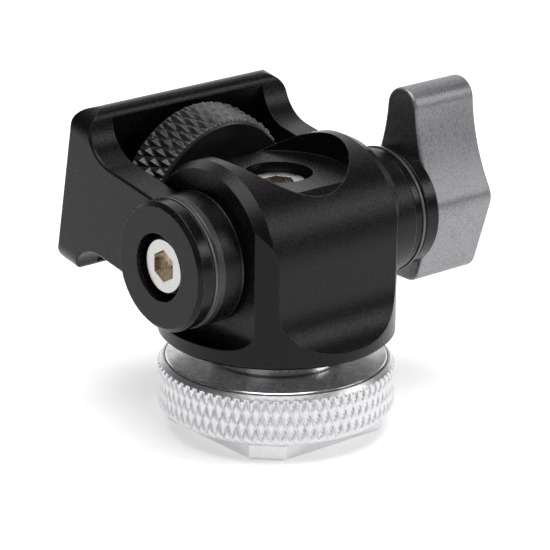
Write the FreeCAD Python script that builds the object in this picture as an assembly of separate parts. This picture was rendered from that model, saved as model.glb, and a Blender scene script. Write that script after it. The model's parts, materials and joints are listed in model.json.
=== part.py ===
import FreeCAD, Part
import math
import os

os.makedirs("parts", exist_ok=True)

# Cold-shoe swivel and tilt bracket, millimetres.
# Origin: centre of the shoe foot's bottom face, on the swivel axis. +Z is up.
# +X runs along the tilt axis towards the wing knob. At rest the yoke's plate is on the +Y side.

# ---- shoe foot and lock wheel ----
FOOT_Y = 18.6            # width across the shoe's rails (ISO 518)
FOOT_X = 18.4
FOOT_THICK = 2.0
FOOT_CORNER = 2.6        # leg of the corner chamfers
FOOT_EDGE = 0.3
STEM_R = 6.0             # M12 x 1 threaded stem
STEM_TOP = 6.8
KEY_R = 4.6              # stem's upper end, with two flats that stop it turning in the base
KEY_FLAT = 3.2
KEY_TOP = 11.8

WHEEL_BOTTOM = 2.1
WHEEL_TOP = 7.42
WHEEL_R = 12.49
WHEEL_TOP_R = 11.95
WHEEL_BOTTOM_R = 12.1
KNURL_LOW = 2.55
KNURL_HIGH = 6.75
WHEEL_SEAT_Z = 7.1        # shallow seat for the flange, in the wheel's top
WHEEL_SEAT_R = 11.75
WHEEL_RECESS_Z = 5.8      # deeper recess for the base's skirt
WHEEL_RECESS_R = 9.3
THREAD_GAP = 0.06        # radial play between a thread and its nut

SNAP_R_IN = 8.6
SNAP_R_OUT = 9.45
SNAP_Z = 6.4
SNAP_THICK = 0.4
SNAP_GROOVE_R = 9.6

# ---- swivel base ----
BASE_Z = 7.14
BASE_TOP = 7.6           # the flange's flat top
BASE_R = 11.65
BASE_EDGE = 0.12
SKIRT_R = 9.2
SKIRT_Z = 5.95
KEY_PLAY = 0.06
SOCKET_TOP = 12.0
HUB_R = 6.3              # journal on which the body swivels
HUB_TOP = 16.0
BEARING_PLAY = 0.06

SWIVEL_SLEEVE_R = 7.15    # bright neck between the flange and the body
SWIVEL_SLEEVE_EDGE = 0.15

# ---- body ----
BODY_Z = 10.31
BODY_R = 12.44
BODY_EDGE = 0.35
TILT_Z = 20.5            # height of the tilt axis
BARREL_R = 9.62
FLAT_Y = 9.62            # front and back flats, tangent to the barrel
COVE_R = 6.0             # coves between those flats and the foot of the body
COVE_Z = 16.6
SIDE_X = 9.65            # side faces, where the yoke's arms turn
SIDE_FLOOR = 12.0
SIDE_FILLET = 2.2
BARREL_BEVEL_X = 1.3
BARREL_BEVEL_R = 0.62
POCKET_R = 7.25
POCKET_FLOOR = 27.45
POCKET_SKIN = 0.15       # how far the pocket's cutter bites into the barrel below its floor
COUNTERBORE_R = 3.57
COUNTERBORE_FLOOR = 23.0
BODY_TOP = TILT_Z + BARREL_R

# ---- socket screws ----
SCREW_R = 2.0            # M4 with a 6 mm head and a 3 mm socket
HEAD_R = 3.0
HEAD_H = 2.4
HEAD_EDGE = 0.25
SOCKET_AF = 3.0
SOCKET_DEPTH = 1.9
SWIVEL_HEAD_TOP = 26.55
PIVOT_HEAD_X = -15.06
SPRING_THICK = 0.8
SPRING_CONE = 0.35

# ---- tilt pivot, cap side (-X) ----
CAP_FACE = -15.72
CAP_BACK = -13.97
CAP_R = 6.78
CAP_EDGE = 0.45
SPIGOT_R = 4.6
SPIGOT_END = -10.3
CAP_SCREW_FLOOR = -12.5
ARM_OUT = 13.5
ARM_IN = 10.2
EYE_R = 6.85
EYE_BORE_R = 5.4
BUSH_WALL = 0.72
DARK_WASHER_THICK = 0.2
ARM_WASHER_R = 6.1

# ---- tilt pivot, knob side (+X) ----
STUD_R = 2.45            # M5 clamp stud
STUD_TIP = 3.6
SLEEVE_SEAT = 8.2
SLEEVE_END = 14.0
SPACER_END = 14.35
RING_R = 6.72
RING_END = 14.65
COLLAR_NECK_R = 6.0
COLLAR_NECK_END = 15.1
COLLAR_R = 6.45
KNOB_FACE = 17.0
KNOB_END = 25.5
KNOB_STUD_END = 22.5

# ---- wing knob outline, measured from the tilt axis ----
WING_TOP = 12.85
WING_TIP_R = 2.25
WING_HUB_Y = 5.75
WING_HUB_Z = 0.7
WING_FOOT_Y = 2.9
WING_FOOT_Z = -8.25
WING_FLANK_SAG = 0.6     # how far the upper flanks are hollowed
WING_CREASE_R = 2.2
WING_FOOT_R = 1.9
WING_EDGE = 0.35

# ---- yoke, in its own plane: u away from the tilt axis, v across ----
YOKE_TILT = 10.0         # degrees above level at rest
NECK_V = 5.05
NECK_U = 12.1
FLARE_R = 4.4
FLARE_TURN = 68
PLATE_V = 9.2
PLATE_IN = 16.45
PLATE_OUT = 19.2
PLATE_CORNER = 1.5       # between the plate's edges and its outer face
PLATE_ROUND = 2.7        # the plate's four corners, seen along u
BROW_R = 1.3             # where the flares meet the plate's edges
YOKE_EDGE = 0.3
STUD_HOLE_R = 3.3
PAD_RECESS = 0.5
PAD_OUT = 19.7
PAD_X = 11.4
PAD_V = 7.0
PAD_CORNER = 1.5
PAD_HOLE_R = 5.2

# ---- thumbwheel and camera screw ----
THUMB_IN = 9.8
THUMB_OUT = 15.25
THUMB_R = 9.1
THUMB_EDGE = 0.5
THUMB_HUB_R = 5.4
THUMB_HUB_END = 15.95
CAMERA_SCREW_R = 3.175   # 1/4 inch
CAMERA_SCREW_END = 24.7
CAMERA_SCREW_EDGE = 0.6
SCREW_NECK_R = 2.6       # relieved neck between the wheel's hub and the thread
SCREW_THREAD_U = 20.1
CLIP_R = 4.7
CLIP_THICK = 0.4
CLIP_GROOVE_R = 2.2

V = FreeCAD.Vector
AXIS_X = V(1, 0, 0)
AXIS_Z = V(0, 0, 1)
UPRIGHT = FreeCAD.Placement()
# The tilt axis: local Z becomes +X, so heights along it are X positions.
ALONG_TILT = FreeCAD.Placement(V(0, 0, TILT_Z), FreeCAD.Rotation(V(0, 1, 0), 90))
# The yoke's own frame: X stays, local Y is u and local Z is v.
YOKE = FreeCAD.Placement(V(0, 0, TILT_Z), FreeCAD.Rotation(AXIS_X, YOKE_TILT))
# The camera screw's axis: local Z becomes the yoke's u.
ALONG_U = YOKE.multiply(FreeCAD.Placement(V(0, 0, 0), FreeCAD.Rotation(AXIS_X, -90)))


def turned(profile, place=UPRIGHT):
    """A lathe-turned solid: (radius, height) points revolved about local Z, then placed."""
    points = [V(r, 0, h) for r, h in profile]
    face = Part.Face(Part.makePolygon(points + points[:1]))
    solid = face.revolve(V(0, 0, 0), AXIS_Z, 360)
    solid.Placement = place
    return solid


def ring(r_in, r_out, low, high, place=UPRIGHT):
    """A plain washer, or a disc when r_in is 0."""
    return turned([(r_in, low), (r_out, low), (r_out, high), (r_in, high)], place)


def block(low, high):
    """A box between two corners."""
    return Part.makeBox(high[0] - low[0], high[1] - low[1], high[2] - low[2], V(*low))


def hexagon(across_flats, low, high, place=UPRIGHT):
    """A hexagonal prism about local Z."""
    corner = across_flats / math.sqrt(3)
    turns = [math.radians(60 * i) for i in range(7)]
    wire = Part.makePolygon([V(corner * math.cos(a), corner * math.sin(a), low) for a in turns])
    prism = Part.Face(wire).extrude(V(0, 0, high - low))
    prism.Placement = place
    return prism


def prism(edges, start, travel):
    """Edges in the YZ plane at x = start, closed into a face and extruded along X."""
    face = Part.Face(Part.Wire(Part.__sortEdges__(edges)))
    return face.extrude(V(travel, 0, 0)).translated(V(start, 0, 0))


def line(a, b):
    return Part.LineSegment(V(0, *a), V(0, *b)).toShape()


def arc(a, middle, b):
    return Part.Arc(V(0, *a), V(0, *middle), V(0, *b)).toShape()


def mirrored(shape, normal):
    return shape.mirror(V(0, 0, 0), normal)


def softened(shape, radius, keep):
    """Round the edges that the test picks."""
    return shape.makeFillet(radius, [e for e in shape.Edges if keep(e)])


def lies_at(edge, axis, value):
    """True when the whole edge lies in the plane where that coordinate has the value."""
    low = getattr(edge.BoundBox, axis + "Min")
    high = getattr(edge.BoundBox, axis + "Max")
    return abs(low - value) < 1e-3 and abs(high - value) < 1e-3


def runs_along_x(edge):
    return edge.BoundBox.XLength > 1 and edge.BoundBox.YLength + edge.BoundBox.ZLength < 1e-3


def save(node, shape):
    shape = shape.removeSplitter()
    assert shape.isValid() and len(shape.Solids) == 1, node
    shape.Solids[0].exportStep("parts/" + node + ".step")


def socket_screw(head_top, tip, place):
    """A cap screw whose head faces local +Z."""
    seat = head_top - HEAD_H
    screw = turned([(0, tip), (SCREW_R - 0.3, tip), (SCREW_R, tip + 0.3), (SCREW_R, seat), (HEAD_R, seat),
                    (HEAD_R, head_top - HEAD_EDGE), (HEAD_R - HEAD_EDGE, head_top), (0, head_top)], place)
    return screw.cut(hexagon(SOCKET_AF, head_top - SOCKET_DEPTH, head_top + 1, place))


def two_flats(radius, flat, low, high):
    """A round bar with a flat on each side, at y = +flat and y = -flat."""
    bar = ring(0, radius, low, high)
    return bar.common(block((-radius, -flat, low), (radius, flat, high)))


# ---- shoe foot: plate, threaded stem and keyed end in one piece ----
def shoe_foot():
    x, y, c = FOOT_X / 2, FOOT_Y / 2, FOOT_CORNER
    corners = [(x - c, -y), (x, -y + c), (x, y - c), (x - c, y), (-x + c, y), (-x, y - c), (-x, -y + c), (-x + c, -y)]
    outline = Part.makePolygon([V(a, b, 0) for a, b in corners + corners[:1]])
    plate = Part.Face(outline).extrude(V(0, 0, FOOT_THICK))
    rims = [e for e in plate.Edges if lies_at(e, "Z", 0) or lies_at(e, "Z", FOOT_THICK)]
    plate = plate.makeChamfer(FOOT_EDGE, rims)
    stem = ring(0, STEM_R, FOOT_THICK - 0.5, STEM_TOP)
    return plate.fuse([stem, two_flats(KEY_R, KEY_FLAT, STEM_TOP - 0.5, KEY_TOP)])


def lock_wheel():
    bore = STEM_R + THREAD_GAP
    groove_low = SNAP_Z - 0.08
    groove_high = SNAP_Z + SNAP_THICK + 0.08
    return turned([(bore, WHEEL_BOTTOM), (WHEEL_BOTTOM_R, WHEEL_BOTTOM), (WHEEL_R, KNURL_LOW),
                   (WHEEL_R, KNURL_HIGH), (WHEEL_TOP_R, WHEEL_TOP), (WHEEL_SEAT_R, WHEEL_TOP),
                   (WHEEL_SEAT_R, WHEEL_SEAT_Z), (WHEEL_RECESS_R, WHEEL_SEAT_Z), (WHEEL_RECESS_R, groove_high),
                   (SNAP_GROOVE_R, groove_high), (SNAP_GROOVE_R, groove_low), (WHEEL_RECESS_R, groove_low),
                   (WHEEL_RECESS_R, WHEEL_RECESS_Z), (bore, WHEEL_RECESS_Z)])


# ---- base: flat flange, skirt inside the wheel, journal inside the body ----
def base_flange():
    skirt_bore = STEM_R + 0.5
    bore_top = STEM_TOP + 0.15
    solid = turned([(skirt_bore, SKIRT_Z), (SKIRT_R, SKIRT_Z), (SKIRT_R, SNAP_Z), (SNAP_R_IN, SNAP_Z),
                    (SNAP_R_IN, SNAP_Z + SNAP_THICK), (SKIRT_R, SNAP_Z + SNAP_THICK), (SKIRT_R, BASE_Z),
                    (BASE_R, BASE_Z), (BASE_R, BASE_TOP - BASE_EDGE), (BASE_R - BASE_EDGE, BASE_TOP),
                    (HUB_R, BASE_TOP), (HUB_R, HUB_TOP), (0, HUB_TOP), (0, bore_top), (skirt_bore, bore_top)])
    socket = two_flats(KEY_R + KEY_PLAY, KEY_FLAT + KEY_PLAY, STEM_TOP - 1, SOCKET_TOP)
    thread = ring(0, SCREW_R, SOCKET_TOP - 0.1, HUB_TOP + 0.1)
    return solid.cut([socket, thread])


def lock_snap_ring():
    full = ring(SNAP_R_IN, SNAP_R_OUT, SNAP_Z, SNAP_Z + SNAP_THICK)
    return full.cut(block((-0.6, 0, SNAP_Z - 1), (0.6, SNAP_R_OUT + 1, SNAP_Z + 1)))


def swivel_sleeve():
    """The bright neck round the journal: it stands on the flange and carries the body."""
    top = BODY_Z - 0.02
    return turned([(HUB_R + BEARING_PLAY, BASE_TOP), (SWIVEL_SLEEVE_R - SWIVEL_SLEEVE_EDGE, BASE_TOP),
                   (SWIVEL_SLEEVE_R, BASE_TOP + SWIVEL_SLEEVE_EDGE), (SWIVEL_SLEEVE_R, top),
                   (HUB_R + BEARING_PLAY, top)])


# ---- body ----
def body_side_waste():
    """What is milled off beyond the front flat: outside the barrel, the flat and the cove."""
    far = BODY_R + 2
    cove_y = FLAT_Y + COVE_R
    meet_z = COVE_Z - math.sqrt(COVE_R ** 2 - (cove_y - far) ** 2)
    middle = (cove_y + far) / 2 - cove_y
    half = math.sin(math.pi / 4) * BARREL_R
    edges = [line((0, BODY_TOP + 2), (0, BODY_TOP)),
             arc((0, BODY_TOP), (half, TILT_Z + half), (BARREL_R, TILT_Z)),
             line((FLAT_Y, TILT_Z), (FLAT_Y, COVE_Z)),
             arc((FLAT_Y, COVE_Z), (cove_y + COVE_R * math.cos(math.radians(215)),
                                    COVE_Z + COVE_R * math.sin(math.radians(215))), (far, meet_z)),
             line((far, meet_z), (far, BODY_TOP + 2)),
             line((far, BODY_TOP + 2), (0, BODY_TOP + 2))]
    return prism(edges, -BODY_R - 1, 2 * BODY_R + 2)


def body_arm_waste():
    """What is milled off beside the +X face, down to a filleted floor."""
    far = BODY_R + 1
    slab = block((SIDE_X, -far, SIDE_FLOOR), (far, far, BODY_TOP + 1))
    return softened(slab, SIDE_FILLET, lambda e: lies_at(e, "X", SIDE_X) and lies_at(e, "Z", SIDE_FLOOR))


def barrel_bevel():
    """The ring outside the barrel's +X bevel, above the tilt axis only."""
    start = SIDE_X - BARREL_BEVEL_X
    cutter = turned([(BARREL_R, start), (BARREL_R + 1, start), (BARREL_R + 1, SIDE_X + 0.5),
                     (BARREL_R - BARREL_BEVEL_R, SIDE_X + 0.5), (BARREL_R - BARREL_BEVEL_R, SIDE_X)], ALONG_TILT)
    return cutter.common(block((0, -BODY_R, TILT_Z), (BODY_R, BODY_R, BODY_TOP + 2)))


def pocket():
    """The round pocket over the swivel screw, down to its floor or to just under the barrel's skin."""
    mill = ring(0, POCKET_R, TILT_Z, BODY_TOP + 1)
    kept = ring(0, BARREL_R - POCKET_SKIN, -SIDE_X, SIDE_X, ALONG_TILT)
    below_floor = block((-BODY_R, -BODY_R, 0), (BODY_R, BODY_R, POCKET_FLOOR))
    return mill.cut(kept.common(below_floor))


def body():
    solid = turned([(0, BODY_Z), (BODY_R - BODY_EDGE, BODY_Z), (BODY_R, BODY_Z + BODY_EDGE),
                    (BODY_R, BODY_TOP), (0, BODY_TOP)])
    front = body_side_waste()
    side = body_arm_waste()
    bevel = barrel_bevel()
    solid = solid.cut([front, mirrored(front, V(0, 1, 0)), side, mirrored(side, AXIS_X)])
    solid = solid.cut([bevel, mirrored(bevel, AXIS_X), pocket()])
    journal = ring(0, HUB_R + BEARING_PLAY, BODY_Z - 1, HUB_TOP + 0.3)
    screw_way = ring(0, SCREW_R + 0.2, HUB_TOP, COUNTERBORE_FLOOR + 1)
    counterbore = ring(0, COUNTERBORE_R, COUNTERBORE_FLOOR, BODY_TOP)
    pivot_thread = ring(0, SCREW_R, -SIDE_X - 1, -STUD_TIP, ALONG_TILT)
    stud_thread = ring(0, STUD_R + THREAD_GAP, STUD_TIP - 0.4, SIDE_X + 1, ALONG_TILT)
    sleeve_seat = ring(0, SPIGOT_R, SLEEVE_SEAT, SIDE_X + 1, ALONG_TILT)
    return solid.cut([journal, screw_way, counterbore, pivot_thread, stud_thread, sleeve_seat])


def swivel_screw():
    return socket_screw(SWIVEL_HEAD_TOP, SOCKET_TOP + 0.5, UPRIGHT)


def disc_spring():
    """A cone washer under the swivel screw's head."""
    low = SWIVEL_HEAD_TOP - HEAD_H - SPRING_THICK
    return turned([(SCREW_R + 0.1, low + SPRING_CONE), (COUNTERBORE_R - 0.25, low),
                   (COUNTERBORE_R - 0.25, low + SPRING_THICK - SPRING_CONE), (SCREW_R + 0.1, low + SPRING_THICK)])


def spring_seat():
    return ring(SCREW_R + 0.1, COUNTERBORE_R - 0.1, COUNTERBORE_FLOOR, SWIVEL_HEAD_TOP - HEAD_H - SPRING_THICK)


# ---- tilt pivot, cap side ----
def pivot_cap():
    return turned([(SCREW_R + 0.1, SPIGOT_END), (SPIGOT_R, SPIGOT_END), (SPIGOT_R, CAP_BACK), (CAP_R, CAP_BACK),
                   (CAP_R, CAP_FACE + CAP_EDGE), (CAP_R - CAP_EDGE, CAP_FACE), (COUNTERBORE_R, CAP_FACE),
                   (COUNTERBORE_R, CAP_SCREW_FLOOR), (SCREW_R + 0.1, CAP_SCREW_FLOOR)], ALONG_TILT)


def pivot_screw():
    towards_cap = FreeCAD.Placement(V(0, 0, TILT_Z), FreeCAD.Rotation(V(0, 1, 0), -90))
    return socket_screw(-PIVOT_HEAD_X, STUD_TIP + 0.4, towards_cap)


def cap_washer_steel():
    return ring(SPIGOT_R + 0.1, CAP_R + 0.02, CAP_BACK + DARK_WASHER_THICK, -ARM_OUT, ALONG_TILT)


def cap_washer_nylon():
    return ring(SPIGOT_R + 0.1, CAP_R - 0.1, CAP_BACK, CAP_BACK + DARK_WASHER_THICK, ALONG_TILT)


def arm_washer(side):
    return ring(SPIGOT_R + 0.1, ARM_WASHER_R, *sorted((side * SIDE_X, side * ARM_IN)), ALONG_TILT)


def eye_bush(side):
    """A plain bearing sleeve pressed into one of the yoke's eyes."""
    return ring(EYE_BORE_R - BUSH_WALL, EYE_BORE_R, *sorted((side * ARM_IN, side * ARM_OUT)), ALONG_TILT)


# ---- tilt pivot, knob side ----
def pivot_sleeve():
    return ring(STUD_R + 0.15, SPIGOT_R, SLEEVE_SEAT, SLEEVE_END, ALONG_TILT)


def knob_spacer():
    return ring(SPIGOT_R + 0.1, RING_R - 0.05, ARM_OUT, SPACER_END, ALONG_TILT)


def knob_ring():
    return ring(SPIGOT_R + 0.1, RING_R + 0.05, SPACER_END, RING_END, ALONG_TILT)


def knob_collar():
    return turned([(STUD_R + 0.05, RING_END), (COLLAR_NECK_R, RING_END), (COLLAR_NECK_R, COLLAR_NECK_END),
                   (COLLAR_R - 0.2, COLLAR_NECK_END), (COLLAR_R, COLLAR_NECK_END + 0.2),
                   (COLLAR_R, KNOB_FACE - 0.2), (COLLAR_R - 0.2, KNOB_FACE), (STUD_R + 0.05, KNOB_FACE)], ALONG_TILT)


def knob_stud():
    return turned([(0, STUD_TIP), (STUD_R - 0.4, STUD_TIP), (STUD_R, STUD_TIP + 0.4),
                   (STUD_R, KNOB_STUD_END), (0, KNOB_STUD_END)], ALONG_TILT)


def wing_half_outline():
    """The +Y side of the wing's outline, from the top of its tip to the middle of its foot."""
    tip_z = WING_TOP - WING_TIP_R
    hub = (WING_HUB_Y, WING_HUB_Z)
    diagonal = math.sin(math.pi / 4) * WING_TIP_R
    flank = ((WING_TIP_R + hub[0]) / 2 - WING_FLANK_SAG, (tip_z + hub[1]) / 2 - 0.3)
    return [arc((0, WING_TOP), (diagonal, tip_z + diagonal), (WING_TIP_R, tip_z)),
            arc((WING_TIP_R, tip_z), flank, hub),
            line(hub, (WING_FOOT_Y, WING_FOOT_Z)),
            line((WING_FOOT_Y, WING_FOOT_Z), (0, WING_FOOT_Z))]


def wing_knob():
    half = wing_half_outline()
    wing = prism(half + [mirrored(e, V(0, 1, 0)) for e in half], KNOB_FACE, KNOB_END - KNOB_FACE)
    wing = softened(wing, WING_CREASE_R,
                    lambda e: runs_along_x(e) and abs(e.BoundBox.ZMin - WING_HUB_Z) < 1e-3)
    wing = softened(wing, WING_FOOT_R,
                    lambda e: runs_along_x(e) and abs(e.BoundBox.ZMin - WING_FOOT_Z) < 1e-3
                    and abs(e.BoundBox.YMin) > 1)
    wing = softened(wing, WING_EDGE, lambda e: lies_at(e, "X", KNOB_FACE) or lies_at(e, "X", KNOB_END))
    wing.translate(V(0, 0, TILT_Z))
    return wing.cut(ring(0, STUD_R, KNOB_FACE - 1, KNOB_STUD_END, ALONG_TILT))


# ---- yoke ----
def yoke_half_outline():
    """The +v side of the yoke's outline, from the eye round to the middle of the plate."""
    eye_u = math.sqrt(EYE_R ** 2 - NECK_V ** 2)
    flare_v = NECK_V + FLARE_R
    turn = math.radians(FLARE_TURN)
    end = (NECK_U + FLARE_R * math.sin(turn), flare_v - FLARE_R * math.cos(turn))
    middle = (NECK_U + FLARE_R * math.sin(turn / 2), flare_v - FLARE_R * math.cos(turn / 2))
    brow = (end[0] + (PLATE_V - end[1]) / math.tan(turn), PLATE_V)
    bend = PLATE_CORNER * (1 - math.sin(math.pi / 4))
    half_turn = math.radians(130)
    return [arc((-EYE_R, 0), (EYE_R * math.cos(half_turn), EYE_R * math.sin(half_turn)), (eye_u, NECK_V)),
            line((eye_u, NECK_V), (NECK_U, NECK_V)),
            arc((NECK_U, NECK_V), middle, end),
            line(end, brow),
            line(brow, (PLATE_OUT - PLATE_CORNER, PLATE_V)),
            arc((PLATE_OUT - PLATE_CORNER, PLATE_V), (PLATE_OUT - bend, PLATE_V - bend),
                (PLATE_OUT, PLATE_V - PLATE_CORNER)),
            line((PLATE_OUT, PLATE_V - PLATE_CORNER), (PLATE_OUT, 0))]


def pad_block(u_low, u_high, inset):
    """The rubber pad's outline, rounded in the plate's plane."""
    x, v = PAD_X - inset, PAD_V - inset
    slab = block((-x, u_low, -v), (x, u_high, v))
    return softened(slab, PAD_CORNER, lambda e: e.BoundBox.XLength + e.BoundBox.ZLength < 1e-3)


def yoke():
    half = yoke_half_outline()
    solid = prism(half + [mirrored(e, AXIS_Z) for e in half], -ARM_OUT, 2 * ARM_OUT)
    solid = softened(solid, BROW_R, lambda e: runs_along_x(e) and abs(e.BoundBox.ZMin) > PLATE_V - 1e-3
                     and e.BoundBox.YMin < PLATE_IN + 1)
    solid = softened(solid, YOKE_EDGE, lambda e: lies_at(e, "X", ARM_OUT) or lies_at(e, "X", -ARM_OUT))
    corners = softened(block((-ARM_OUT, -EYE_R, -PLATE_V), (ARM_OUT, PLATE_OUT, PLATE_V)), PLATE_ROUND,
                       lambda e: e.BoundBox.XLength + e.BoundBox.ZLength < 1e-3)
    solid = solid.common(corners)
    window = block((-ARM_IN, -EYE_R - 1, -PLATE_V - 1), (ARM_IN, PLATE_IN, PLATE_V + 1))
    solid = solid.cut([window, pad_block(PLATE_OUT - PAD_RECESS, PLATE_OUT + 1, 0)])
    solid.Placement = YOKE
    eyes = ring(0, EYE_BORE_R, -ARM_OUT - 1, ARM_OUT + 1, ALONG_TILT)
    stud_hole = ring(0, STUD_HOLE_R, PLATE_IN - 1, PLATE_OUT + 1, ALONG_U)
    return solid.cut([eyes, stud_hole])


def device_pad():
    pad = pad_block(PLATE_OUT - PAD_RECESS, PAD_OUT, 0.05)
    pad.Placement = YOKE
    return pad.cut(ring(0, PAD_HOLE_R, PLATE_IN, PAD_OUT + 1, ALONG_U))


# ---- thumbwheel and its captive camera screw ----
def thumbwheel():
    rim = THUMB_R - THUMB_EDGE
    return turned([(CAMERA_SCREW_R, THUMB_IN), (rim, THUMB_IN), (THUMB_R, THUMB_IN + THUMB_EDGE),
                   (THUMB_R, THUMB_OUT - THUMB_EDGE), (rim, THUMB_OUT), (THUMB_HUB_R, THUMB_OUT),
                   (THUMB_HUB_R, THUMB_HUB_END), (CAMERA_SCREW_R, THUMB_HUB_END)], ALONG_U)


def camera_screw():
    clip = PLATE_OUT - PAD_RECESS
    return turned([(0, THUMB_IN), (CAMERA_SCREW_R, THUMB_IN), (CAMERA_SCREW_R, THUMB_HUB_END),
                   (SCREW_NECK_R, THUMB_HUB_END), (SCREW_NECK_R, clip),
                   (CLIP_GROOVE_R, clip), (CLIP_GROOVE_R, clip + CLIP_THICK), (SCREW_NECK_R, clip + CLIP_THICK),
                   (SCREW_NECK_R, SCREW_THREAD_U - 0.4), (CAMERA_SCREW_R, SCREW_THREAD_U),
                   (CAMERA_SCREW_R, CAMERA_SCREW_END - CAMERA_SCREW_EDGE),
                   (CAMERA_SCREW_R - CAMERA_SCREW_EDGE, CAMERA_SCREW_END), (0, CAMERA_SCREW_END)], ALONG_U)


def thumb_washer():
    return ring(CAMERA_SCREW_R + 0.15, THUMB_HUB_R, THUMB_HUB_END, PLATE_IN - 0.03, ALONG_U)


def screw_clip():
    """The open clip in the camera screw's groove, which stops it dropping out of the plate."""
    low = PLATE_OUT - PAD_RECESS
    full = ring(CLIP_GROOVE_R, CLIP_R, low + 0.02, low + CLIP_THICK, UPRIGHT)
    clip = full.cut(block((-1.5, 0, low - 1), (1.5, CLIP_R + 1, low + 2)))
    clip.Placement = ALONG_U
    return clip


PIECES = {
    "shoe_foot": shoe_foot, "lock_wheel": lock_wheel, "lock_snap_ring": lock_snap_ring,
    "base_flange": base_flange, "swivel_sleeve": swivel_sleeve, "body": body,
    "swivel_screw": swivel_screw, "disc_spring": disc_spring, "spring_seat": spring_seat,
    "pivot_cap": pivot_cap, "pivot_screw": pivot_screw, "cap_washer_steel": cap_washer_steel,
    "cap_washer_nylon": cap_washer_nylon, "pivot_sleeve": pivot_sleeve, "knob_spacer": knob_spacer,
    "knob_ring": knob_ring, "knob_collar": knob_collar, "knob_stud": knob_stud, "wing_knob": wing_knob,
    "yoke": yoke, "device_pad": device_pad, "thumbwheel": thumbwheel, "camera_screw": camera_screw,
    "thumb_washer": thumb_washer, "screw_clip": screw_clip,
}

for name, make in PIECES.items():
    save(name, make())

for end, side in (("cap", -1), ("knob", 1)):
    save(end + "_arm_washer", arm_washer(side))
    save(end + "_eye_bush", eye_bush(side))
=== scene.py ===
import json
import math

import bpy
from mathutils import Matrix, Vector


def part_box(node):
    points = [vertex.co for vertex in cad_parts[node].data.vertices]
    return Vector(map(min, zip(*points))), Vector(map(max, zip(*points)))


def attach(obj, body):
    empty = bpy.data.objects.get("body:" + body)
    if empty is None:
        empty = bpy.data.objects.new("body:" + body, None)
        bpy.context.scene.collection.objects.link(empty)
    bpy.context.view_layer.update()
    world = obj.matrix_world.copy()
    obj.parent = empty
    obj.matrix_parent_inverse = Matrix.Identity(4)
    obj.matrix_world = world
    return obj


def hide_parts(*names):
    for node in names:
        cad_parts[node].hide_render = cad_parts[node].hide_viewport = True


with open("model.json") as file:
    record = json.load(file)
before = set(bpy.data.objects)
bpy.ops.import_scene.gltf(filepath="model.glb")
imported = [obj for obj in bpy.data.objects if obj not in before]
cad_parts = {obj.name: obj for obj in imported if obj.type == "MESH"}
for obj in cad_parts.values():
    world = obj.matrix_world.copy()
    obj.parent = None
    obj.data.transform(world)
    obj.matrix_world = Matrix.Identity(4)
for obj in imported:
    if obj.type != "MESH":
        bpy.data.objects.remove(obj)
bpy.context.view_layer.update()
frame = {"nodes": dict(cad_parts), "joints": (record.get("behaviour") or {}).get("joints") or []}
nodes = frame["nodes"]
MM = 0.001
joints = {j["name"]: j for j in frame["joints"]}
TILT_AT = Vector(joints["tilt"]["pos_m"])
SCREW_DIR = Vector(joints["thumbwheel_turn"]["axis"]).normalized()

# ------------------------------------------------------------------ camera
AZIMUTH, ELEVATION, ROLL = math.radians(-40.575), math.radians(19.692), math.radians(0.714)
DISTANCE = 0.320
AIM = Vector((0, 0, 0.0165))
back = Vector((math.sin(AZIMUTH) * math.cos(ELEVATION), -math.cos(AZIMUTH) * math.cos(ELEVATION),
               math.sin(ELEVATION)))
right = (-back).cross(Vector((0, 0, 1))).normalized()
up = right.cross(-back)
cam_x = right * math.cos(ROLL) + up * math.sin(ROLL)
cam_y = up * math.cos(ROLL) - right * math.sin(ROLL)
camera = bpy.data.objects.new("camera", bpy.data.cameras.new("camera"))
bpy.context.scene.collection.objects.link(camera)
facing = Matrix((cam_x, cam_y, back)).transposed().to_4x4()
camera.matrix_world = Matrix.Translation(AIM + back * DISTANCE) @ facing
camera.data.sensor_width = 36
camera.data.lens = 201.5
camera.data.shift_x = -0.0039
camera.data.shift_y = -0.0049
camera.data.clip_start = 0.01
camera.data.clip_end = 10
bpy.context.scene.camera = camera

# ------------------------------------------------------------------ light
bpy.context.scene.view_settings.view_transform = "Standard"
LIGHT_AIM = Vector((0, 0, 0.016))


def area_light(name, place, size, power):
    """A rectangular softbox that points at the middle of the object."""
    data = bpy.data.lights.new(name, "AREA")
    data.shape = "RECTANGLE"
    data.size, data.size_y = size
    data.energy = power
    lamp = bpy.data.objects.new(name, data)
    bpy.context.scene.collection.objects.link(lamp)
    lamp.location = place
    lamp.rotation_euler = (LIGHT_AIM - Vector(place)).to_track_quat("-Z", "Y").to_euler()


# Name, place, width and height in metres, power in watts.
area_light("softbox_top", (-0.05, -0.06, 0.60), (0.50, 0.50), 3.3)
area_light("softbox_right", (0.37, -0.38, 0.285), (0.24, 0.17), 0.64)
area_light("softbox_left", (-0.52, -0.20, 0.30), (0.35, 0.35), 0.12)
area_light("backdrop_glow", (0.68, 0.80, 0.50), (2.0, 1.1), 7.4)

world = bpy.data.worlds.new("studio")
bpy.context.scene.world = world
world.use_nodes = True
background = world.node_tree.nodes["Background"]
background.inputs["Color"].default_value = (0.62, 0.62, 0.63, 1)
background.inputs["Strength"].default_value = 0.16


# ------------------------------------------------------------------ materials
MILLED_EDGE = 0.12 * MM         # the edge radius that light sees on milled pieces
TURNED_EDGE = 0.08 * MM         # the same on turned and moulded ones
DRIFT_SHARE = 0.35              # how much of a tone's mottle is slow drift, beside the fine speckle
MOTTLE_LOW, MOTTLE_HIGH = 0.475, 0.875
EDGE_START, EDGE_FULL = 0.995, 0.90     # cosines between true and rounded normals, for the edge mask


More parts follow.
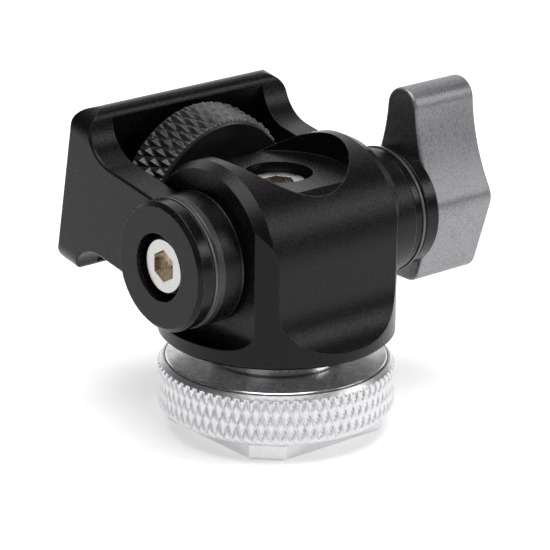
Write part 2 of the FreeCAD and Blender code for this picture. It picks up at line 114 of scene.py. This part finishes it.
class Shader:
    """A node material, built up with short calls."""

    def __init__(self, name, colour, metallic, roughness):
        self.mat = bpy.data.materials.new(name)
        self.mat.use_nodes = True
        self.nodes = self.mat.node_tree.nodes
        self.links = self.mat.node_tree.links
        self.bsdf = self.nodes["Principled BSDF"]
        self.bsdf.inputs["Base Color"].default_value = (*colour, 1)
        self.bsdf.inputs["Metallic"].default_value = metallic
        self.bsdf.inputs["Roughness"].default_value = roughness
        self.place = self.nodes.new("ShaderNodeTexCoord").outputs["Object"]
        self.normal = None

    def make(self, kind, **settings):
        node = self.nodes.new(kind)
        for key, value in settings.items():
            setattr(node, key, value)
        return node

    def wire(self, source, target):
        if isinstance(source, (int, float)):
            target.default_value = source
        else:
            self.links.new(source, target)

    def noise(self, scale, detail=2.0, rough=0.5):
        node = self.make("ShaderNodeTexNoise")
        self.wire(self.place, node.inputs["Vector"])
        node.inputs["Scale"].default_value = scale
        node.inputs["Detail"].default_value = detail
        node.inputs["Roughness"].default_value = rough
        return node.outputs["Fac"]

    def math(self, operation, a, b=0.0, clamp=False):
        node = self.make("ShaderNodeMath", operation=operation, use_clamp=clamp)
        self.wire(a, node.inputs[0])
        self.wire(b, node.inputs[1])
        return node.outputs[0]

    def remap(self, value, low, high, to_low, to_high):
        node = self.make("ShaderNodeMapRange")
        self.wire(value, node.inputs["Value"])
        for name, number in (("From Min", low), ("From Max", high), ("To Min", to_low), ("To Max", to_high)):
            self.wire(number, node.inputs[name])
        return node.outputs["Result"]

    def blend(self, factor, first, second):
        node = self.make("ShaderNodeMix", data_type="RGBA")
        self.wire(factor, node.inputs["Factor"])
        for value, target in ((first, node.inputs[6]), (second, node.inputs[7])):
            if isinstance(value, tuple):
                target.default_value = (*value, 1)
            else:
                self.wire(value, target)
        return node.outputs[2]

    def bump(self, height, strength, distance):
        node = self.make("ShaderNodeBump")
        node.inputs["Strength"].default_value = strength
        node.inputs["Distance"].default_value = distance
        self.wire(height, node.inputs["Height"])
        if self.normal:
            self.wire(self.normal, node.inputs["Normal"])
        self.normal = node.outputs["Normal"]
        self.wire(self.normal, self.bsdf.inputs["Normal"])

    def rounded(self, radius):
        """Rounds the look of every sharp edge, and returns a mask of the edges."""
        node = self.make("ShaderNodeBevel", samples=6)
        node.inputs["Radius"].default_value = radius
        self.normal = node.outputs["Normal"]
        self.wire(self.normal, self.bsdf.inputs["Normal"])
        flat = self.make("ShaderNodeNewGeometry").outputs["Normal"]
        dot = self.make("ShaderNodeVectorMath", operation="DOT_PRODUCT")
        self.wire(node.outputs["Normal"], dot.inputs[0])
        self.wire(flat, dot.inputs[1])
        return self.remap(dot.outputs["Value"], EDGE_START, EDGE_FULL, 0.0, 1.0)


def distance_from_tilt_axis(s):
    """The position's radius about the tilt axis, and its x."""
    split = s.make("ShaderNodeSeparateXYZ")
    s.wire(s.place, split.inputs[0])
    rise = s.math("SUBTRACT", split.outputs["Z"], TILT_AT.z)
    depth = split.outputs["Y"]
    square = s.math("ADD", s.math("MULTIPLY", rise, rise), s.math("MULTIPLY", depth, depth))
    return s.math("SQRT", square), split.outputs["X"]


def painted_highlight_band(s, x_low, x_high, radius, colour, roughness):
    """A painted highlight band round an eye, between two x positions and within a radius: paler metallic
    colour that stands in for light caught on the eye's chamfered edge.
    """
    reach, x = distance_from_tilt_axis(s)
    inside = s.math("MULTIPLY", s.math("GREATER_THAN", x, x_low), s.math("LESS_THAN", x, x_high))
    mask = s.math("MULTIPLY", inside, s.math("LESS_THAN", reach, radius))
    base = s.bsdf.inputs["Base Color"].links[0].from_socket
    # Painted highlight: the band is painted paler, metallic and rougher in place of light on the eye's
    # chamfered edge.
    highlight_tone = s.blend(s.noise(4500, 3), tuple(c * 0.6 for c in colour), tuple(c * 1.4 for c in colour))
    s.wire(s.blend(mask, base, highlight_tone), s.bsdf.inputs["Base Color"])
    metal_links = s.bsdf.inputs["Metallic"].links
    s.wire(s.math("MAXIMUM", mask, metal_links[0].from_socket) if metal_links else mask, s.bsdf.inputs["Metallic"])
    rough = s.bsdf.inputs["Roughness"].links[0].from_socket
    s.wire(s.math("ADD", rough, s.math("MULTIPLY", mask, roughness)), s.bsdf.inputs["Roughness"])


def anodised(name, dark, light, roughness, grain, grain_depth, edge_light, metallic=0.0, specular=0.5,
             bands=()):
    """Anodised aluminium: fine blasted grain, slow tone drift, paler edges that are partly wear and partly
    painted highlight, and painted highlight bands.
    """
    s = Shader(name, light, metallic, roughness)
    s.bsdf.inputs["Specular IOR Level"].default_value = specular
    edges = s.rounded(MILLED_EDGE)
    drift = s.noise(220, 3)
    speckle = s.noise(grain * 0.6, 2)
    mottle = s.math("ADD", speckle, s.math("MULTIPLY", drift, DRIFT_SHARE))
    tone = s.remap(mottle, MOTTLE_LOW, MOTTLE_HIGH, 0.0, 1.0)
    colour = s.blend(tone, dark, light)
    # Paler edges: partly wear, partly a painted highlight that stands in for light on the rounded edges.
    edge_wear_and_highlight = s.math("MULTIPLY", edges, s.remap(s.noise(1500, 3), 0.35, 0.65, 0.25, 1.0), clamp=True)
    s.wire(s.blend(edge_wear_and_highlight, colour, edge_light), s.bsdf.inputs["Base Color"])
    s.wire(s.remap(mottle, MOTTLE_LOW, MOTTLE_HIGH, roughness - 0.05, roughness + 0.06),
           s.bsdf.inputs["Roughness"])
    s.bump(s.noise(grain, 2, 0.6), 0.8, grain_depth)
    for band in bands:
        painted_highlight_band(s, *band)
    return s.mat


SOCKET_FLOOR_R = 1.47 * MM      # inside the hex's flats
SOCKET_WALL_R = 1.76 * MM       # outside its corners
SOCKET_STAIN = (0.52, 0.46, 0.40)
SOCKET_WALL_COLOUR = (0.60, 0.55, 0.48)
SOCKET_POLISH = 0.13            # how much smoother the socket is than the head


def turned_metal(name, colour, roughness, centre, axis, pitch=0.09 * MM, depth=0.0012 * MM, socket=False):
    """Turned metal: fine rings round an axis, a noise waver in their tone and height, and a stained hex
    socket.
    """
    s = Shader(name, colour, 1.0, roughness)
    s.rounded(TURNED_EDGE)
    from_centre = s.make("ShaderNodeVectorMath", operation="SUBTRACT")
    s.wire(s.place, from_centre.inputs[0])
    from_centre.inputs[1].default_value = centre
    across = s.make("ShaderNodeVectorMath", operation="CROSS_PRODUCT")
    s.wire(from_centre.outputs[0], across.inputs[0])
    across.inputs[1].default_value = axis
    length = s.make("ShaderNodeVectorMath", operation="LENGTH")
    s.wire(across.outputs[0], length.inputs[0])
    along = s.make("ShaderNodeVectorMath", operation="DOT_PRODUCT")
    s.wire(from_centre.outputs[0], along.inputs[0])
    along.inputs[1].default_value = axis
    travel = s.math("ADD", length.outputs["Value"], along.outputs["Value"])
    rings = s.math("SINE", s.math("MULTIPLY", travel, 2 * math.pi / pitch))
    waver = s.noise(3000, 3)
    tone = s.blend(waver, tuple(c * 0.92 for c in colour), tuple(min(1, c * 1.06) for c in colour))
    if socket:
        facing = s.make("ShaderNodeVectorMath", operation="DOT_PRODUCT")
        s.wire(s.make("ShaderNodeNewGeometry").outputs["True Normal"], facing.inputs[0])
        facing.inputs[1].default_value = axis
        wall = s.math("LESS_THAN", s.math("ABSOLUTE", facing.outputs["Value"]), 0.5)
        reach = s.math("ADD", s.math("MULTIPLY", wall, SOCKET_WALL_R - SOCKET_FLOOR_R), SOCKET_FLOOR_R)
        in_socket = s.math("LESS_THAN", length.outputs["Value"], reach)
        tone = s.blend(in_socket, tone, SOCKET_STAIN)
        tone = s.blend(s.math("MULTIPLY", in_socket, wall), tone, SOCKET_WALL_COLOUR)
        polish = s.math("MULTIPLY", in_socket, SOCKET_POLISH)
    s.wire(tone, s.bsdf.inputs["Base Color"])
    rough = s.remap(s.noise(900, 4), 0.3, 0.7, roughness - 0.05, roughness + 0.06)
    s.wire(s.math("SUBTRACT", rough, polish) if socket else rough, s.bsdf.inputs["Roughness"])
    s.bump(s.math("ADD", rings, waver), 0.6, depth)
    return s.mat


def plain(name, colour, roughness, grain, depth, metallic=0.0, contrast=0.2):
    """Moulded, sintered or blasted stock with a fine grain."""
    s = Shader(name, colour, metallic, roughness)
    s.rounded(TURNED_EDGE)
    tone = s.noise(grain, 4, 0.6)
    dark = tuple(c * (1 - contrast) for c in colour)
    light = tuple(min(1, c * (1 + contrast)) for c in colour)
    s.wire(s.blend(tone, dark, light), s.bsdf.inputs["Base Color"])
    s.wire(s.remap(s.noise(grain * 0.3, 3), 0.3, 0.7, roughness - 0.07, roughness + 0.07),
           s.bsdf.inputs["Roughness"])
    s.bump(tone, 0.5, depth)
    return s.mat


UP = (0, 0, 1)
ACROSS = (1, 0, 0)
ORIGIN = (0, 0, 0)
TILT = tuple(TILT_AT)

BLACK = ((0.0025, 0.0025, 0.0028), (0.005, 0.005, 0.0054))
# Edge colours of the black pieces: partly wear, partly painted highlight along the edges.
BLACK_EDGE_WEAR_AND_HIGHLIGHT = (0.060, 0.060, 0.063)
BLACK_TURNED_EDGE_WEAR_AND_HIGHLIGHT = (0.09, 0.09, 0.095)

# Painted highlight bands round the yoke's cap-side eye, for light caught on its chamfered edges: x from and
# to, radius reached, colour, and roughness added.
EYE_HIGHLIGHT_BANDS = ((-13.6 * MM, -12.55 * MM, 6.95 * MM, (0.070, 0.070, 0.072), 0.18),
             (-10.42 * MM, -10.15 * MM, 6.95 * MM, (0.13, 0.13, 0.13), 0.10))

black = anodised("black_anodised_blasted", *BLACK, 0.25, 8200, 0.036 * MM, BLACK_EDGE_WEAR_AND_HIGHLIGHT, specular=0.20)
black_yoke = anodised("black_anodised_yoke", *BLACK, 0.25, 8200, 0.036 * MM, BLACK_EDGE_WEAR_AND_HIGHLIGHT, specular=0.215,
                      bands=EYE_HIGHLIGHT_BANDS)
black_smooth = anodised("black_anodised_turned", *BLACK, 0.24, 5600, 0.012 * MM, BLACK_TURNED_EDGE_WEAR_AND_HIGHLIGHT,
                        specular=0.205)
black_knurl = anodised("black_anodised_knurl", (0.010, 0.010, 0.0105), (0.016, 0.016, 0.0165), 0.34, 5000,
                       0.010 * MM, (0.15, 0.15, 0.155), specular=0.56)
bright_turned = turned_metal("silver_turned_flange", (0.76, 0.76, 0.77), 0.24, ORIGIN, UP, pitch=0.16 * MM,
                             depth=0.0015 * MM)
silver = anodised("silver_anodised_satin", (0.66, 0.66, 0.675), (0.74, 0.74, 0.75), 0.36, 6000, 0.006 * MM,
                  (0.97, 0.97, 0.98), metallic=1.0)
grey = anodised("grey_anodised_blasted", (0.20, 0.20, 0.21), (0.33, 0.33, 0.345), 0.42, 7600, 0.034 * MM,
                (0.62, 0.62, 0.63), metallic=1.0)
steel_up = turned_metal("stainless_turned_upright", (0.62, 0.61, 0.595), 0.30, ORIGIN, UP, socket=True)
steel_across = turned_metal("stainless_turned_across", (0.54, 0.535, 0.525), 0.24, TILT, ACROSS, socket=True)
steel_screw = turned_metal("stainless_turned_screw", (0.74, 0.73, 0.71), 0.26, TILT, tuple(SCREW_DIR),
                           depth=0.003 * MM)
washer = plain("steel_washer_blasted", (0.13, 0.13, 0.132), 0.46, 5200, 0.010 * MM, metallic=1.0,
               contrast=0.45)
spring = plain("spring_steel_plain", (0.42, 0.42, 0.43), 0.35, 4000, 0.003 * MM, metallic=1.0)
nylon = plain("nylon_matte", (0.022, 0.022, 0.022), 0.55, 5000, 0.006 * MM)
bronze = plain("bronze_sintered", (0.52, 0.36, 0.19), 0.42, 9000, 0.008 * MM, metallic=1.0, contrast=0.35)
rubber = plain("rubber_moulded", (0.020, 0.020, 0.020), 0.72, 3500, 0.012 * MM)

FINISH = {
    "body": black, "yoke": black_yoke,
    "pivot_cap": black_smooth, "knob_collar": black_smooth, "knob_spacer": black_smooth,
    "shoe_foot": silver, "wing_knob": grey, "base_flange": bright_turned, "swivel_sleeve": bright_turned,
    "swivel_screw": steel_up, "spring_seat": steel_up,
    "pivot_screw": steel_across, "pivot_sleeve": steel_across, "knob_stud": steel_across,
    "cap_washer_steel": washer, "knob_ring": washer,
    "lock_snap_ring": spring, "disc_spring": spring, "screw_clip": spring,
    "cap_washer_nylon": nylon, "cap_arm_washer": nylon, "knob_arm_washer": nylon, "thumb_washer": nylon,
    "cap_eye_bush": bronze, "knob_eye_bush": bronze, "device_pad": rubber,
}
for name, material in FINISH.items():
    mesh = nodes[name].data
    mesh.materials.clear()
    mesh.materials.append(material)


# ------------------------------------------------------------------ knurled wheels and threads
SHARP_EDGE = math.radians(24)
LEVEL = 1e-7            # radii this close make a flat quad


def band_faces(rows, lower, upper, steps):
    """The faces between two rows, split along the shorter diagonal where they aren't flat."""
    faces = []
    low, high = lower * steps, upper * steps
    below, above = rows[lower][1], rows[upper][1]
    for i in range(steps):
        k = (i + 1) % steps
        a, b, c, d = low + i, low + k, high + k, high + i
        radii = (below[i], below[k], above[k], above[i])
        if max(radii) - min(radii) < LEVEL:
            faces.append((a, b, c, d))
        elif abs(radii[0] - radii[2]) < abs(radii[1] - radii[3]):
            faces += [(a, b, c), (a, c, d)]
        else:
            faces += [(a, b, d), (b, c, d)]
    return faces


def lathe(name, rows, steps, place, material, closed=True):
    """A surface of rings, each a height and one radius per step, joined row to row about the local Z axis."""
    points = []
    for height, radii in rows:
        for i in range(steps):
            turn = 2 * math.pi * i / steps
            points.append((radii[i] * math.cos(turn), radii[i] * math.sin(turn), height))
    last = len(rows) - 1
    faces = []
    for j in range(last):
        faces += band_faces(rows, j, j + 1, steps)
    if closed:
        faces += band_faces(rows, last, 0, steps)
    else:
        faces.append(tuple(reversed(range(steps))))
        faces.append(tuple(range(last * steps, (last + 1) * steps)))
    mesh = bpy.data.meshes.new(name)
    mesh.from_pydata(points, [], faces)
    mesh.validate()
    mesh.shade_smooth()
    mesh.set_sharp_from_angle(angle=SHARP_EDGE)
    mesh.materials.append(material)
    piece = bpy.data.objects.new(name, mesh)
    bpy.context.scene.collection.objects.link(piece)
    piece.matrix_world = place
    return piece


def flat_rows(profile, steps):
    """Plain round rows from (radius, height) pairs."""
    return [(h, [r] * steps) for r, h in profile]


HALF_DIAMOND_STEPS = 4          # mesh steps across half a diamond
CHAMFER_ROWS = (0.35, 0.7)      # extra rows on each chamfer, as shares of it
CLOSEST_ROWS = 0.03 * MM


def knurl_depth(turn, height, teeth, diamond, crown):
    """0 in the grooves and 1 on the crowns, for diamonds of that height, where turn is 0 to 1."""
    def to_groove(t):
        return 2 * abs(t - round(t))
    a = to_groove(turn * teeth + height / diamond)
    b = to_groove(turn * teeth - height / diamond)
    return min(1.0, min(a, b) / crown)


def outline_radius(outline, height):
    """The radius of a chamfered rim at a height: the outline is chamfer, rim, rim, chamfer."""
    start, rim_start, rim_end, end = outline
    if height < rim_start[0]:
        share = (height - start[0]) / (rim_start[0] - start[0])
        return start[1] + (rim_start[1] - start[1]) * share
    if height > rim_end[0]:
        share = (height - rim_end[0]) / (end[0] - rim_end[0])
        return rim_end[1] + (end[1] - rim_end[1]) * share
    return rim_start[1]


def rim_heights(outline, phase, step):
    """The heights of a rim's rows: the diamonds' own lattice, the outline's corners and its chamfers."""
    start, rim_start, rim_end, end = [point[0] for point in outline]
    heights = {start, end, rim_start, rim_end}
    k = math.ceil((start - phase) / step)
    while phase + k * step < end:
        heights.add(phase + k * step)
        k += 1
    for share in CHAMFER_ROWS:
        heights.add(start + (rim_start - start) * share)
        heights.add(rim_end + (end - rim_end) * share)
    kept = []
    for h in sorted(heights):
        if not kept or h - kept[-1] > CLOSEST_ROWS:
            kept.append(h)
    return kept


def knurled_rows(outline, phase, diamond, teeth, depth, crown):
    """Rows over a knurled rim, where the outline's chamfers cut the crowns away."""
    steps = teeth * 2 * HALF_DIAMOND_STEPS
    rim = outline[1][1]
    rows = []
    for h in rim_heights(outline, phase, diamond / (2 * HALF_DIAMOND_STEPS)):
        limit = outline_radius(outline, h)
        radii = []
        for i in range(steps):
            crest = knurl_depth(i / steps, h - phase, teeth, diamond, crown)
            radii.append(min(limit, rim - depth * (1 - crest)))
        rows.append((h, radii))
    return rows, steps


# Lock wheel: the CAD's own outline, with the knurl cut into its rim. Radii and heights along the swivel axis.
low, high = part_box("lock_wheel")
WHEEL_R = high.x - 0.01 * MM
WHEEL_BOTTOM, WHEEL_TOP = low.z, high.z
WHEEL_BOTTOM_R, WHEEL_TOP_R = 12.1 * MM, 11.95 * MM
WHEEL_RIM_LOW, WHEEL_RIM_HIGH = 2.55 * MM, 6.75 * MM
SEAT_R, SEAT_Z = 11.75 * MM, 7.1 * MM
RECESS_R, RECESS_Z = 9.3 * MM, 5.8 * MM
RING_GROOVE_R, RING_GROOVE_LOW, RING_GROOVE_HIGH = 9.6 * MM, 6.32 * MM, 6.88 * MM
WHEEL_BORE_R = 6.08 * MM
WHEEL_KNURL = dict(phase=5.65 * MM, diamond=3.0 * MM, teeth=76, depth=0.27 * MM, crown=0.62)
wheel_outline = [(WHEEL_BOTTOM, WHEEL_BOTTOM_R), (WHEEL_RIM_LOW, WHEEL_R), (WHEEL_RIM_HIGH, WHEEL_R),
                 (WHEEL_TOP, WHEEL_TOP_R)]
wheel_inside = [(SEAT_R, WHEEL_TOP), (SEAT_R, SEAT_Z), (RECESS_R, SEAT_Z), (RECESS_R, RING_GROOVE_HIGH),
                (RING_GROOVE_R, RING_GROOVE_HIGH), (RING_GROOVE_R, RING_GROOVE_LOW),
                (RECESS_R, RING_GROOVE_LOW), (RECESS_R, RECESS_Z), (WHEEL_BORE_R, RECESS_Z),
                (WHEEL_BORE_R, WHEEL_BOTTOM)]
rim_rows, steps = knurled_rows(wheel_outline, **WHEEL_KNURL)
wheel = lathe("lock_wheel_knurled", rim_rows + flat_rows(wheel_inside, steps), steps,
              Matrix.Identity(4), silver)
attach(wheel, "lock_wheel")
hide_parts("lock_wheel")

# Thumbwheel: radii and heights along the camera screw's axis, from the tilt axis.
ALONG_SCREW = Matrix.Translation(TILT_AT) @ SCREW_DIR.to_track_quat("Z", "Y").to_matrix().to_4x4()
THUMB_R, THUMB_EDGE_R = 9.09 * MM, 8.42 * MM
THUMB_IN, THUMB_OUT = 9.8 * MM, 15.25 * MM
THUMB_RIM_IN, THUMB_RIM_OUT = 10.42 * MM, 14.63 * MM
THUMB_HUB_R, THUMB_HUB_OUT = 5.4 * MM, 15.95 * MM
THUMB_BORE_R = 3.18 * MM
THUMB_KNURL = dict(phase=11.0 * MM, diamond=2.9 * MM, teeth=46, depth=0.42 * MM, crown=1.0)
thumb_outline = [(THUMB_IN, THUMB_EDGE_R), (THUMB_RIM_IN, THUMB_R), (THUMB_RIM_OUT, THUMB_R),
                 (THUMB_OUT, THUMB_EDGE_R)]
thumb_inside = [(THUMB_HUB_R, THUMB_OUT), (THUMB_HUB_R, THUMB_HUB_OUT), (THUMB_BORE_R, THUMB_HUB_OUT),
                (THUMB_BORE_R, THUMB_IN)]
rim_rows, steps = knurled_rows(thumb_outline, **THUMB_KNURL)
thumb = lathe("thumbwheel_knurled", rim_rows + flat_rows(thumb_inside, steps), steps,
              ALONG_SCREW, black_knurl)
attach(thumb, "thumbwheel")
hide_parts("thumbwheel")

THREAD_ROWS_PER_TURN = 12
THREAD_FLANK = 2.6              # how steeply the flanks rise
THREAD_ROOT = 0.12              # how flat the roots are
THREAD_TIP_STEP = 0.15 * MM     # how far below the roots the lead-in ends


def threaded_rows(major, minor, pitch, start, end, steps, lead_in):
    """Rows of a helical thread with a tapered lead-in at its end."""
    rows = []
    count = int((end - start) / pitch * THREAD_ROWS_PER_TURN)
    for j in range(count + 1):
        h = start + (end - start) * j / count
        limit = min(major, minor - THREAD_TIP_STEP + (end - h) / lead_in * (major - minor))
        radii = []
        for i in range(steps):
            t = (h - start) / pitch - i / steps
            crest = min(1.0, max(0.0, THREAD_FLANK * abs(t - round(t)) - THREAD_ROOT))
            radii.append(min(limit, minor + (major - minor) * crest))
        rows.append((h, radii))
    return rows


# Camera screw: shank in the wheel's hub, relieved neck with the clip's groove, then the 1/4 inch thread.
SCREW_STEPS = 72
SHANK_R = 3.175 * MM
NECK_R, NECK_END = 2.6 * MM, 19.8 * MM
CLIP_GROOVE_R, CLIP_GROOVE_IN, CLIP_GROOVE_OUT = 2.2 * MM, 18.7 * MM, 19.1 * MM
shank = flat_rows([(SHANK_R, THUMB_IN), (SHANK_R, THUMB_HUB_OUT), (NECK_R, THUMB_HUB_OUT),
                   (NECK_R, CLIP_GROOVE_IN), (CLIP_GROOVE_R, CLIP_GROOVE_IN),
                   (CLIP_GROOVE_R, CLIP_GROOVE_OUT), (NECK_R, CLIP_GROOVE_OUT), (NECK_R, NECK_END)],
                  SCREW_STEPS)
thread = threaded_rows(major=3.17 * MM, minor=2.45 * MM, pitch=1.27 * MM, start=20.0 * MM, end=24.69 * MM,
                       steps=SCREW_STEPS, lead_in=0.6 * MM)
screw = lathe("camera_screw_threaded", shank + thread, SCREW_STEPS, ALONG_SCREW, steel_screw, closed=False)
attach(screw, "thumbwheel")
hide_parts("camera_screw")

# ------------------------------------------------------------------ floor
FLOOR_SIZE, FLOOR_DROP = 6, 0.1 * MM
bpy.ops.mesh.primitive_plane_add(size=FLOOR_SIZE, location=(0, 0, -FLOOR_DROP))
floor = bpy.context.object
floor.name = "floor"
s = Shader("studio_floor", (0.93, 0.93, 0.93), 0.0, 0.75)
s.wire(s.blend(s.noise(30, 2), (0.925, 0.925, 0.925), (0.935, 0.935, 0.935)), s.bsdf.inputs["Base Color"])
s.bsdf.inputs["Emission Color"].default_value = (1, 1, 1, 1)
s.bsdf.inputs["Emission Strength"].default_value = 0.38
floor.data.materials.append(s.mat)
